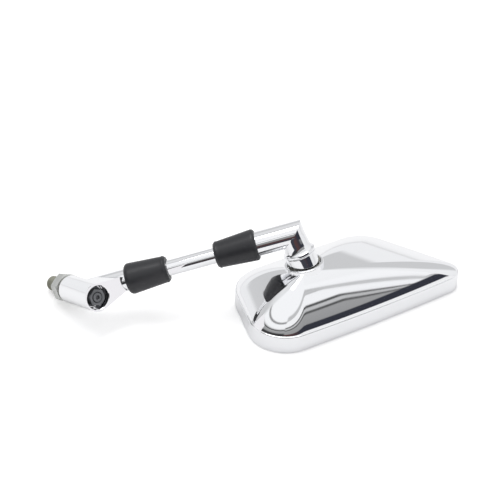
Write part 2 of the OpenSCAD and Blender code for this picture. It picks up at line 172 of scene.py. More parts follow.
def close_up(bm: BMesh) -> BMesh:
    """Merge doubled points and turn every face outwards.

    Args:
        bm: the mesh, in millimetres.

    Returns:
        The same mesh.
    """
    bmesh.ops.remove_doubles(bm, verts=bm.verts, dist=NEAR)
    bmesh.ops.dissolve_degenerate(bm, dist=NEAR / 2, edges=bm.edges)
    bmesh.ops.recalc_face_normals(bm, faces=bm.faces)
    return bm


def moved(bm: BMesh, matrix: Matrix) -> BMesh:
    """Carry a mesh by a matrix and return it."""
    bmesh.ops.transform(bm, matrix=matrix, verts=bm.verts)
    return bm


def arc(centre: Sequence[float], radius: float, start: float, end: float,
        steps: int) -> list[Point2]:
    """Draw an arc.

    Args:
        centre: its centre.
        radius: its radius.
        start: the angle it starts at, in radians.
        end: the angle it ends at.
        steps: its segments.

    Returns:
        Its points, with both ends.
    """
    turns = [start + (end - start) * k / steps for k in range(steps + 1)]
    return [(centre[0] + radius * math.cos(t), centre[1] + radius * math.sin(t)) for t in turns]


def eased(corners: Sequence[Sequence[float]], steps: int = 4) -> list[Point2]:
    """Round the corners of a profile.

    Args:
        corners: (radius, height) of a sharp corner, or (radius, height, rounding).
        steps: segments of each rounding.

    Returns:
        The rounded profile.
    """
    out: list[Point2] = []
    for i, (r, z, *rounding) in enumerate(corners):
        if not any(rounding):
            out.append((r, z))
            continue
        here, radius = Vector((r, z)), rounding[0]
        a, b = ((Vector(corners[k][:2]) - here).normalized() for k in (i - 1, i + 1))
        half = a.angle(b) / 2
        centre = here + (a + b).normalized() * radius / math.sin(half)
        ends = (here + way * radius / math.tan(half) - centre for way in (a, b))
        first, last = (math.atan2(p.y, p.x) for p in ends)
        out += arc(centre, radius, first, first + math.remainder(last - first, math.tau), steps)
    return out


def divided(profile: Sequence[Point2], longest: float) -> list[Point2]:
    """Split the long stretches of a profile, so that cuts and shading stay even.

    Args:
        profile: the profile's points.
        longest: the longest stretch left whole.

    Returns:
        The profile with more points.
    """
    out = [profile[0]]
    for (r0, z0), (r1, z1) in zip(profile, profile[1:]):
        parts = max(1, math.ceil(math.hypot(r1 - r0, z1 - z0) / longest))
        shares = [k / parts for k in range(1, parts + 1)]
        out += [(r0 + (r1 - r0) * share, z0 + (z1 - z0) * share) for share in shares]
    return out


def lathe(corners: Sequence[Sequence[float]], steps: int = 112, longest: float = 1.5,
          round_steps: int = 4) -> BMesh:
    """Turn a profile about Z.

    Args:
        corners: its corners, as eased() takes them. A profile that starts and ends on
            the axis makes a solid, and another one is closed into a ring.
        steps: facets of a full turn.
        longest: the longest stretch of the profile that is left whole.
        round_steps: segments of each rounding.

    Returns:
        A closed mesh.
    """
    profile = divided(eased(corners, round_steps), longest)
    bm = bmesh.new()
    verts = [bm.verts.new((r, 0, z)) for r, z in profile]
    edges = [bm.edges.new(pair) for pair in zip(verts, verts[1:])]
    if max(profile[0][0], profile[-1][0]) > NEAR:
        edges.append(bm.edges.new((verts[-1], verts[0])))
    bmesh.ops.spin(
        bm, geom=verts + edges, cent=(0, 0, 0), axis=(0, 0, 1),
        angle=math.tau, steps=steps, use_merge=True,
    )
    return close_up(bm)


def pillar(radius: float, low: float, high: float, foot: float = 0, top: float = 0,
           steps: int = 112, longest: float = 1.5) -> BMesh:
    """Turn a cylinder, with a rounding at its foot and at its top."""
    return lathe([(0, low), (radius, low, foot), (radius, high, top), (0, high)], steps, longest)


def hex_prism(flats: float, low: float, high: float) -> BMesh:
    """Make a hexagonal bar.

    Args:
        flats: width across the flats.
        low: its lower end.
        high: its upper end.

    Returns:
        A closed mesh.
    """
    bm = bmesh.new()
    ring = bmesh.ops.create_circle(bm, cap_ends=True, segments=6, radius=flats / math.sqrt(3))
    bmesh.ops.translate(bm, verts=ring["verts"], vec=(0, 0, low))
    top = bmesh.ops.extrude_face_region(bm, geom=bm.faces[:])
    raised = [g for g in top["geom"] if isinstance(g, BMVert)]
    bmesh.ops.translate(bm, verts=raised, vec=(0, 0, high - low))
    return close_up(bm)


def lifted(outline: Iterable[Sequence[float]], z: float) -> list[Vector]:
    """Give an outline a height."""
    return [Vector((p[0], p[1], z)) for p in outline]


def lofted(rings: Sequence[Sequence[Vector]], capped: bool = True) -> BMesh:
    """Bridge a row of closed outlines into one skin.

    Args:
        rings: outlines with the same number of points.
        capped: close the first and the last outline.

    Returns:
        The skin.
    """
    bm = bmesh.new()

    def loop(outline: Sequence[Vector]) -> list[BMEdge]:
        """Draw one closed outline and return its edges."""
        verts = [bm.verts.new(p) for p in outline]
        return [bm.edges.new((v, verts[(i + 1) % len(verts)])) for i, v in enumerate(verts)]

    ends: list[BMEdge] = []
    for i, pair in enumerate(zip(rings, rings[1:])):
        one, two = loop(pair[0]), loop(pair[1])
        bmesh.ops.bridge_loops(bm, edges=one + two)
        if i == 0:
            ends += one
        if i == len(rings) - 2:
            ends += two
    if capped:
        bmesh.ops.holes_fill(bm, edges=ends, sides=0)
    return close_up(bm)


def merged(base: BMesh, steps: Iterable[tuple[Cut, BMesh]]) -> BMesh:
    """Add solids to a solid and cut others out of it.

    Args:
        base: the first solid, freed here.
        steps: what is done, in order, each with its tool, freed here.

    Returns:
        The finished solid.
    """
    body = new_object("work_base", base)
    for how, tool_bm in steps:
        tool = new_object("work_tool", tool_bm)
        modifier = body.modifiers.new("cut", "BOOLEAN")
        modifier.operation = how.value
        modifier.solver = "EXACT"
        modifier.object = tool
        graph = bpy.context.evaluated_depsgraph_get()
        mesh = bpy.data.meshes.new_from_object(body.evaluated_get(graph))
        body.modifiers.clear()
        body.data = mesh
        bpy.data.objects.remove(tool)
    out = bmesh.new()
    out.from_mesh(body.data)
    bpy.data.objects.remove(body)
    return close_up(out)


def soften(bm: BMesh, width: float, angle: float) -> BMesh:
    """Bevel every edge that is sharper than an angle.

    Args:
        bm: the solid.
        width: width of the bevel in millimetres.
        angle: the least angle between two faces, in degrees.

    Returns:
        The same solid.
    """
    least = math.radians(angle)
    sharp = [e for e in bm.edges if e.is_manifold and e.calc_face_angle(0) > least]
    bmesh.ops.bevel(
        bm, geom=sharp, offset=width, offset_type="OFFSET", affect="EDGES",
        segments=2, profile=0.5, material=-1, clamp_overlap=True,
    )
    return close_up(bm)


# Node helpers and shared surface effects


class Wiring:
    """Short calls for building a node tree."""

    def __init__(self, tree: NodeTree) -> None:
        """Keep the tree that the calls build in."""
        self.tree = tree

    def feed(self, node: Node, inputs: Mapping[str | int, object]) -> None:
        """Link or set a node's inputs.

        Args:
            node: the node.
            inputs: sockets to link, numbers or RGB colours, by the input's name or number.
        """
        for key, value in inputs.items():
            socket = node.inputs[key]
            if isinstance(value, NodeSocket):
                self.tree.links.new(value, socket)
            else:
                socket.default_value = (*value, 1) if socket.type == "RGBA" else value

    def node(self, kind: str, inputs: Mapping[str | int, object] | None = None,
             **settings: object) -> Node:
        """Add a node.

        Args:
            kind: the node's type.
            inputs: what feed() takes.
            **settings: its properties.

        Returns:
            The node.
        """
        made = self.tree.nodes.new(kind)
        for key, value in settings.items():
            setattr(made, key, value)
        self.feed(made, inputs or {})
        return made

    def maths(self, operation: str, *values: object) -> NodeSocket:
        """Add a Math node and return its output."""
        return self.node("ShaderNodeMath", dict(enumerate(values)), operation=operation).outputs[0]

    def ranged(self, value: NodeSocket, low: float, high: float, to_low: float = 0.0,
               to_high: float = 1.0) -> NodeSocket:
        """Map a value from one range to another, stop it at the ends and return it."""
        return self.node("ShaderNodeMapRange", {
            "Value": value, "From Min": low, "From Max": high, "To Min": to_low, "To Max": to_high,
        }).outputs[0]

    def ramp(self, factor: NodeSocket, stops: Sequence[tuple[float, Colour]]) -> NodeSocket:
        """Add a colour ramp.

        Args:
            factor: what it reads.
            stops: (position, colour) pairs, in order.

        Returns:
            The colour output.
        """
        made = self.node("ShaderNodeValToRGB", {"Fac": factor})
        elements = made.color_ramp.elements
        while len(elements) < len(stops):
            elements.new(1.0)
        for element, (position, colour) in zip(elements, stops):
            element.position = position
            element.color = (*colour, 1)
        return made.outputs["Color"]

    def blend(self, factor: object, a: object, b: object) -> NodeSocket:
        """Mix two colours and return the result."""
        return self.node("ShaderNodeMix", {0: factor, 6: a, 7: b}, data_type="RGBA").outputs[2]

    def shine(self, kind: str, colour: object, strength: object = 1.0) -> NodeSocket:
        """Add an Emission or Background node and return its output."""
        return self.node(kind, {"Color": colour, "Strength": strength}).outputs[0]

    def either(self, factor: NodeSocket, plain: NodeSocket, other: NodeSocket) -> NodeSocket:
        """Mix two shaders, the second one where the factor is 1."""
        return self.node("ShaderNodeMixShader", {0: factor, 1: plain, 2: other}).outputs[0]


def emptied(owner: Material | World) -> Wiring:
    """Start the nodes of a material or a world from nothing.

    Args:
        owner: the material or world.

    Returns:
        The wiring of its tree.
    """
    owner.use_nodes = True
    owner.node_tree.nodes.clear()
    return Wiring(owner.node_tree)


def effect_group(name: str, inputs: Sequence[str],
                 outputs: Sequence[str]) -> tuple[Wiring, Mapping[str, NodeSocket], Node]:
    """Start a node group whose sockets are all numbers.

    Args:
        name: the group's name.
        inputs: names of its inputs.
        outputs: names of its outputs.

    Returns:
        Its wiring, the sockets that give its inputs, and the node that takes its outputs.
    """
    tree = bpy.data.node_groups.new(name, "ShaderNodeTree")
    for way, labels in (("INPUT", inputs), ("OUTPUT", outputs)):
        for label in labels:
            tree.interface.new_socket(label, in_out=way, socket_type="NodeSocketFloat")
    wires = Wiring(tree)
    return wires, wires.node("NodeGroupInput").outputs, wires.node("NodeGroupOutput")


def grain_group() -> NodeTree:
    """Build the fine grain that castings, rubber and plating share.

    Returns:
        A group with Scale and Spread in, and Grain and Blotch out.
    """
    wires, given, leave = effect_group("surface_grain", ["Scale", "Spread"], ["Grain", "Blotch"])
    coords = wires.node("ShaderNodeTexCoord").outputs["Object"]
    fine = wires.node("ShaderNodeTexNoise", {
        "Vector": coords, "Scale": given["Scale"], "Detail": 3.0, "Roughness": 0.6})
    wide_scale = wires.maths("MULTIPLY", given["Scale"], given["Spread"])
    wide = wires.node("ShaderNodeTexNoise", {"Vector": coords, "Scale": wide_scale, "Detail": 2.0})
    wires.feed(leave, {"Grain": fine.outputs[0], "Blotch": wide.outputs[0]})
    return wires.tree


def dust_group() -> NodeTree:
    """Build the sparse specks that lie on every surface.

    Returns:
        A group with Scale and Amount in, and a Specks mask out.
    """
    wires, given, leave = effect_group("dust_specks", ["Scale", "Amount"], ["Specks"])
    coords = wires.node("ShaderNodeTexCoord").outputs["Object"]
    cells = wires.node("ShaderNodeTexVoronoi", {
        "Vector": coords, "Scale": given["Scale"], "Randomness": 1.0})
    near = wires.maths("LESS_THAN", cells.outputs["Distance"], given["Amount"])
    wires.feed(leave, {"Specks": near})
    return wires.tree


DUST_COLOUR = (0.55, 0.55, 0.54)
DUST_ROUGHNESS = 0.5
DUST_SCALE = 900.0
BLOTCH_RANGE = (0.35, 0.65)  # the part of the coarse noise that changes the roughness


@dataclass(frozen=True)
class Finish:
    """A surface finish: a metal, a rubber or a plastic, with its grain and dust."""

    name: str
    colour: Colour
    shade: Colour
    metallic: float
    roughness: float
    rough_spread: float
    grain_scale: float
    grain_depth: float
    blotch: float = 0.1
    specks: float = 0.0

    def build(self, grain: NodeTree, dust: NodeTree) -> Material:
        """Make the material.

        Args:
            grain: the shared group of grain.
            dust: the shared group of dust.

        Returns:
            The material.
        """
        material = bpy.data.materials.new(self.name)
        material.use_nodes = True
        wires = Wiring(material.node_tree)
        texture = wires.node("ShaderNodeGroup", {
            "Scale": self.grain_scale, "Spread": self.blotch}, node_tree=grain).outputs
        colour = wires.blend(texture["Blotch"], self.colour, self.shade)
        rough = wires.ranged(
            texture["Blotch"], *BLOTCH_RANGE, self.roughness, self.roughness + self.rough_spread)
        if self.specks:
            specks = wires.node("ShaderNodeGroup", {
                "Scale": DUST_SCALE, "Amount": self.specks}, node_tree=dust).outputs["Specks"]
            colour = wires.blend(specks, colour, DUST_COLOUR)
            rough = wires.maths("MAXIMUM", rough, wires.maths("MULTIPLY", specks, DUST_ROUGHNESS))
        bump = wires.node("ShaderNodeBump", {
            "Height": texture["Grain"], "Strength": 1.0, "Distance": self.grain_depth * MM})
        wires.feed(material.node_tree.nodes["Principled BSDF"], {
            "Base Color": colour, "Metallic": self.metallic, "Roughness": rough,
            "Normal": bump.outputs["Normal"]})
        return material


# Finishes by the names of their slots
FINISHES = {
    "chrome": Finish(
        "chrome_plate", (0.93, 0.935, 0.95), (0.9, 0.905, 0.92), metallic=1, roughness=0.035,
        rough_spread=0.02, grain_scale=60, grain_depth=0.0006, specks=0.012),
    "zinc_stud": Finish(
        "olive_zinc", (0.36, 0.36, 0.3), (0.27, 0.27, 0.22), metallic=0.85, roughness=0.38,
        rough_spread=0.15, grain_scale=900, grain_depth=0.01, blotch=0.2),
    "zinc_nut": Finish(
        "grey_zinc", (0.62, 0.63, 0.61), (0.5, 0.51, 0.5), metallic=0.85, roughness=0.42,
        rough_spread=0.15, grain_scale=900, grain_depth=0.012, blotch=0.2),
    "dark_steel": Finish(
        "dark_steel", (0.2, 0.205, 0.215), (0.13, 0.135, 0.145), metallic=0.8, roughness=0.42,
        rough_spread=0.15, grain_scale=900, grain_depth=0.01, blotch=0.2),
    "boot_rubber": Finish(
        "black_boot_rubber", (0.012, 0.0125, 0.016), (0.018, 0.0185, 0.022), metallic=0,
        roughness=0.36, rough_spread=0.08, grain_scale=1500, grain_depth=0.02, specks=0.01),
    "gasket_rubber": Finish(
        "gasket_rubber", (0.018, 0.018, 0.02), (0.028, 0.028, 0.03), metallic=0, roughness=0.6,
        rough_spread=0.1, grain_scale=1200, grain_depth=0.02),
    "nylon": Finish(
        "ivory_nylon", (0.7, 0.68, 0.6), (0.66, 0.64, 0.56), metallic=0, roughness=0.45,
        rough_spread=0.1, grain_scale=800, grain_depth=0.01),
    "foam": Finish(
        "closed_foam", (0.05, 0.05, 0.055), (0.07, 0.07, 0.075), metallic=0, roughness=0.9,
        rough_spread=0.05, grain_scale=1400, grain_depth=0.08),
    "mirror": Finish(
        "silvered_glass", (0.9, 0.92, 0.925), (0.88, 0.9, 0.905), metallic=1, roughness=0.012,
        rough_spread=0.01, grain_scale=40, grain_depth=0.0002, specks=0.01),
}


def build_finishes() -> dict[str, Material]:
    """Make every material once and return them by the names of their slots."""
    grain, dust = grain_group(), dust_group()
    return {slot: finish.build(grain, dust) for slot, finish in FINISHES.items()}


@dataclass
class Assembly:
    """What every sub-assembly of the mirror holds: its places and the materials."""

    layout: Layout
    materials: Mapping[str, Material]

    def dress(self, bm: BMesh, place: Place, name: str, body: str, slot: str, node: str,
              sharp: float = 30) -> None:
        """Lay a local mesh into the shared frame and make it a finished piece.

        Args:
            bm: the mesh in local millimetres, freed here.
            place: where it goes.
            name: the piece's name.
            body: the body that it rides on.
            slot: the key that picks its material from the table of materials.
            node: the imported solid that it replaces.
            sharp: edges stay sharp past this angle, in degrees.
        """
        obj = new_object(name, moved(bm, place.matrix()))
        obj.data.materials.append(self.materials[slot])
        obj.data.shade_smooth()
        obj.data.set_sharp_from_angle(angle=math.radians(sharp))
        obj.modifiers.new("even_normals", "WEIGHTED_NORMAL").keep_sharp = True
        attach(obj, body)
        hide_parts(node)
        log.info("%s: %d faces", name, len(obj.data.polygons))


# Head


def ways(corners: Sequence[Vector], index: int) -> list[Vector]:
    """Return the directions from a corner to the next one and to the one before it."""
    around = (corners[(index + step) % len(corners)] for step in (1, -1))
    return [(there - corners[index]).normalized() for there in around]


@dataclass(frozen=True)
class HeadOutline:
    """The head's four-sided outline and the dome drawn up from it.

    Corners and sides are counted from the front left, anticlockwise from above.
    """

    front_turn: float = 29.6
    front_edge: float = 163
    head_depth: float = 72
    left_angle: float = 77.5
    right_angle: float = 61.4
    corner_radius: tuple[float, float, float, float] = (23, 10, 24, 22)
    side_swell: float = 2.2
    ball_along: float = 48.5
    ball_behind: float = 32.3
    top_along: float = 43.4
    top_behind: float = 23.7
    top_power: float = 1.3
    foot_power: float = 0.8
    corner_steps: int = 22
    side_steps: tuple[int, int, int, int] = (54, 20, 42, 20)

    def sharp(self) -> list[Vector]:
        """Work out the four sharp corners.

        Returns:
            The corners in the head's plan.
        """
        width, depth = self.front_edge, self.head_depth
        left, right = (
            depth / math.tan(math.radians(a)) for a in (self.left_angle, self.right_angle))
        plan = [(0, 0), (width, 0), (width - right, depth), (left, depth)]
        return [Vector((x - self.ball_along, y - self.ball_behind)) for x, y in plan]

    def top(self) -> Vector:
        """Return the dome's top in plan."""
        return Vector((self.top_along - self.ball_along, self.top_behind - self.ball_behind))

    def corner(self, index: int, inset: float, share: float) -> Vector:
        """Return a corner moved inwards and drawn to the dome's top.

        Args:
            index: which corner.
            inset: how far in from both of its sides.
            share: 1 at the rim and 0 at the top.

        Returns:
            The corner in plan.
        """
        sharp = self.sharp()
        a, b = ways(sharp, index)
        inwards = sharp[index] + inset / abs(a.x * b.y - a.y * b.x) * (a + b)
        return self.top().lerp(inwards, share)

    def swell(self, point: Vector) -> Vector:
        """Push a point outwards, most at the middles of the long sides.

        Args:
            point: the point in plan.

        Returns:
            Its new place.
        """
        middle = sum(self.sharp(), Vector((0, 0))) / 4
        half_x, half_y = self.front_edge / 2, self.head_depth / 2
        q = point - middle
        grow_x = 1 + self.side_swell / half_x / 2 * (1 - (q.y / half_y) ** 2)
        grow_y = 1 + self.side_swell / half_y * (1 - (q.x / half_x) ** 2)
        return middle + Vector((q.x * grow_x, q.y * grow_y))

    def ring(self, inset: float, share: float = 1) -> list[Vector]:
        """Draw one rounded outline of four arcs and four sides.

        Args:
            inset: how far in from the rim.
            share: 1 at the rim and 0 at the dome's top.

        Returns:
            Its points in plan.
        """
        corners = [self.corner(i, inset, share) for i in range(4)]
        fits = []
        for i in range(4):
            a, b = ways(corners, i)
            half = math.acos(max(-1, min(1, a.dot(b)))) / 2
            fits.append((a, b, half, max(self.corner_radius[i] - inset, 1) * share))
        points: list[Sequence[float]] = []
        for i, (here, (a, b, half, radius)) in enumerate(zip(corners, fits)):
            centre = here + (a + b).normalized() * radius / math.sin(half)
            start = math.atan2(b.y, b.x) + QUARTER
            points += arc(centre, radius, start, start + math.pi - 2 * half, self.corner_steps)
            _, _, next_half, next_radius = fits[(i + 1) % 4]
            leave = here + a * radius / math.tan(half)
            arrive = corners[(i + 1) % 4] - a * next_radius / math.tan(next_half)
            count = self.side_steps[i]
            points += [leave.lerp(arrive, k / count) for k in range(1, count)]
        return [self.swell(Vector(p)) for p in points]

    def height(self, share: float, rise: float) -> float:
        """Return the dome's height over the rim at a share."""
        return rise * (1 - share ** self.top_power) ** self.foot_power


@dataclass
class Head(Assembly):
    """The chromed shell with its ball socket, and the glass in its gasket."""

    outline: HeadOutline = HeadOutline()
    rim_height: float = 13
    rim_edge: float = 0.9
    rim_lean: float = 0.25
    rim_sink: float = 0.02
    foot_round: Sequence[Point2] = ((1.1, 0), (0.6, 0.14), (0.22, 0.45), (0, 1))
    foot_chamfer: float = 0.15
    dome_rise: float = 28
    dome_rings: int = 52
    edge_rings: int = 7
    inner_rings: int = 16
    inner_inset: float = 0.8
    inner_drop: float = 1.6
    inner_fall: float = 1.2
    shell_wall: float = 2.4
    ledge_width: float = 3.4
    ledge_thick: float = 1.2
    glass_recess: float = 1
    glass_thick: float = 3
    glass_edge: float = 0.35
    glass_play: float = 0.1
    pad_thick: float = 1
    gasket_thick: float = 1.2
    gasket_low: float = 0.2
    gasket_foot: Sequence[Point2] = ((0, 0.4), (0.25, 0.08), (0.6, 0))
    ball_r: float = 9.9
    liner_thick: float = 1
    liner_play: float = 0.3
    seat_reach: float = 0.3  # of the seat's radius, how far below the centre the seat ends
    socket_wall: float = 2.4
    lip_height: float = 0.8
    lip_wall: float = 1.4
    lip_step: float = 0.2
    lip_round: float = 0.6
    hole_r: float = 7.55
    cut_low: float = -20
    cut_over: float = 6

    def stack(self, steps: Iterable[Point2], capped: bool = True) -> BMesh:
        """Loft the outline through (inset, height) steps."""
        return lofted([lifted(self.outline.ring(inset), z) for inset, z in steps], capped)

    def glass_room(self) -> float:
        """Return the height of the ledge that the glass backs on to."""
        return self.glass_recess + self.glass_thick + self.pad_thick

    def socket_r(self) -> float:
        """Return the radius of the seat for the ball and its liner."""
        return self.ball_r + 2 * self.liner_play + self.liner_thick

    def shell_loft(self) -> BMesh:
        """Loft the shell from its inner top over the foot to its outer top.

        Returns:
            The shell, without its socket.
        """
        ring, height, wall = self.outline.ring, self.outline.height, self.shell_wall
        rim, edge, lean, chamfer = self.rim_height, self.rim_edge, self.rim_lean, self.foot_chamfer
        room, ledge, inner = self.glass_room(), wall + self.ledge_width, wall + self.inner_inset

        def shares(count: int) -> list[float]:
            """Return shares up to 1 that lie closer towards the rim."""
            return [math.sin(QUARTER * k / count) for k in range(1, count + 1)]

        side = [
            (inner, room + 2 * self.ledge_thick), (ledge, room + self.ledge_thick),
            (ledge, room), (wall, room), (wall, chamfer), (wall - chamfer, 0), *self.foot_round,
            (lean * 0.2, rim / 2), (lean * 0.8, rim - 2 * edge),
        ]
        # The rim turns over into the dome's foot in a quarter round
        for k in range(1, self.edge_rings):
            turn = QUARTER * k / self.edge_rings
            side.append((lean + (edge - lean) * (1 - math.cos(turn)),
                         rim - edge * (1 - math.sin(turn)) - self.rim_sink))
        low, rise = rim - self.inner_drop, self.dome_rise - self.inner_fall
        rings = [lifted(ring(inner, s), low + height(s, rise)) for s in shares(self.inner_rings)]
        rings += [lifted(ring(inset), z) for inset, z in side]
        rings += [lifted(ring(edge, s), rim + height(s, self.dome_rise))
                  for s in reversed(shares(self.dome_rings))]
        return lofted(rings)

    def socket_solid(self) -> BMesh:
        """Turn the outside of the ball socket with its raised lip.

        Returns:
            The solid, in the socket's frame.
        """
        outer_r = self.socket_r() + self.socket_wall
        lip_out = self.socket_r() - self.lip_step + self.lip_wall
        bowl = arc((0, 0), outer_r, -QUARTER, -math.acos(lip_out / outer_r), 24)
        lip = [(lip_out, self.lip_height, self.lip_round), (0, self.lip_height)]
        return lathe(bowl + lip, 120, round_steps=5)

    def socket_hollow(self) -> BMesh:
        """Turn the room that the ball, its liner and the bolt need.

        Returns:
            The room, in the socket's frame.
        """
        socket_r, top = self.socket_r(), self.lip_height + self.cut_over
        lip_r = socket_r - self.lip_step
        start = math.asin(self.hole_r / socket_r) - QUARTER
        bowl = arc((0, 0), socket_r, start, -math.asin(self.seat_reach), 20)
        return lathe([(0, self.cut_low), (self.hole_r, self.cut_low), *bowl,
                      (lip_r, bowl[-1][1]), (lip_r, top), (0, top)], 120, math.inf)

    def build_shell(self) -> None:
        """Make the shell with its socket."""
        to_head = self.layout.socket.within(self.layout.head)
        bm = merged(self.shell_loft(), [
            (Cut.ADD, moved(self.socket_solid(), to_head)),
            (Cut.TAKE, moved(self.socket_hollow(), to_head))])
        self.dress(bm, self.layout.head, "head_shell_skin", "head", "chrome", "head_shell", 36)

    def build_glass(self) -> None:
        """Make the glass and the rubber gasket round it."""
        outer = self.shell_wall + self.glass_play
        inner = outer + self.gasket_thick
        glass, edge = inner + self.glass_play, self.glass_edge
        low, high = self.glass_recess, self.glass_recess + self.glass_thick
        plate = self.stack([(glass + edge, low), (glass + edge * 0.3, low + edge * 0.3),
                            (glass, low + edge), (glass, high - edge), (glass + edge, high)])
        self.dress(plate, self.layout.head, "mirror_glass_plate", "head", "mirror", "mirror_glass")
        low, high = self.gasket_low, self.glass_room()
        foot = [(outer + inset, low + rise) for inset, rise in self.gasket_foot]
        foot += [(inner - inset, low + rise) for inset, rise in reversed(self.gasket_foot[:2])]
        ring = self.stack([(outer, high), *foot, (inner, high), (outer, high)], capped=False)
        self.dress(ring, self.layout.head, "glass_gasket_ring", "head", "gasket_rubber",
                   "glass_gasket", 42)

    def build(self) -> None:
        """Build the whole head."""
        self.build_shell()
        self.build_glass()


@dataclass
class Elbow(Assembly):
    """The chromed elbow casting and the ball with its collar."""

    socket_r: float = 7.9
    socket_length: float = 33.5
    socket_rounds: Point2 = (0.5, 0.3)
    post_top_r: float = 8.0
    post_over: float = 12
    post_foot_r: float = 10.4
    post_foot_thick: float = 1.8
    post_foot_rounds: Point2 = (0.5, 0.4)
    post_foot_share: float = 0.8  # how high the foot stands on the ball, in its radii
    post_length: float = 21.4
    flare_r: float = 5
    flare_steps: int = 12
    flare_waist: float = 0.4
    flare_end: float = -1
    cap_reach: float = 30
    bore_r: float = 4.05
    bore_low: float = 40
    bore_high: float = 14
    ball_r: float = 9.9
    ball_flat: float = 0.86  # of the ball's radius, where its flat foot lies
    collar_groove: float = 0.3
    collar_round: float = 0.7
    bolt_hole_r: float = 3.05

    def foot_low(self) -> float:
        """Return the height of the post's foot, below the arm's axis."""
        return self.ball_r * self.post_foot_share - self.post_length

    def along_arm(self, bm: BMesh) -> BMesh:
        """Carry a mesh from the arm's frame into the post's."""
        return moved(bm, self.layout.arm.within(self.layout.post))

    def arm_cylinder(self, low: float, high: float) -> BMesh:
        """Turn the socket that holds the arm, in the post's own frame."""
        return self.along_arm(pillar(self.socket_r, low, high, *self.socket_rounds))

    def post(self) -> BMesh:
        """Turn the post with its flared foot, up past the arm's axis.

        Returns:
            The solid, in the post's frame.
        """
        low, foot_r = self.foot_low(), self.post_foot_r
        high, waist = low + self.post_foot_thick, self.post_top_r + self.flare_waist
        foot_round, top_round = self.post_foot_rounds
        turns = [QUARTER * k / self.flare_steps for k in range(1, self.flare_steps + 1)]
        flare = [(foot_r - (foot_r - waist) * math.sin(t), high + self.flare_r * (1 - math.cos(t)))
                 for t in turns]
        return lathe([
            (0, low), (foot_r, low, foot_round), (foot_r, high, top_round), *flare,
            (self.post_top_r, self.flare_end), (self.post_top_r, self.post_over),
            (0, self.post_over)])

    def build_casting(self) -> None:
        """Make the elbow: the post's top takes the round of the arm's socket."""
        length, reach = self.layout.arm_length, self.cap_reach
        cap = merged(self.post(), [(Cut.KEEP, self.arm_cylinder(length - reach, length + reach))])
        above = bmesh.new()
        bmesh.ops.create_cube(above, size=2 * reach, matrix=Matrix.Translation((0, 0, reach)))
        lower = merged(self.post(), [(Cut.TAKE, above)])
        arm = self.arm_cylinder(length - self.socket_length, length)
        bore = self.along_arm(pillar(
            self.bore_r, length - self.bore_low, length - self.bore_high, steps=48,
            longest=math.inf))
        bm = merged(lower, [(Cut.ADD, cap), (Cut.ADD, arm), (Cut.TAKE, bore)])
        self.dress(bm, self.layout.post, "elbow_casting", "elbow", "chrome", "elbow")

    def build_ball(self) -> None:
        """Make the ball and the collar above it."""
        hole, flat = self.bolt_hole_r, self.ball_r * self.ball_flat
        collar = self.post_length + self.foot_low() - self.collar_groove
        bm = lathe([
            (hole, -flat), *arc((0, 0), self.ball_r, -math.asin(self.ball_flat), 0, 24),
            (self.ball_r, collar, self.collar_round), (hole, collar)], 120, round_steps=5)
        self.dress(bm, self.layout.ball, "swivel_ball_chrome", "ball", "chrome", "swivel_ball", 36)

    def build(self) -> None:
        """Build the elbow and the ball."""
        self.build_casting()
        self.build_ball()


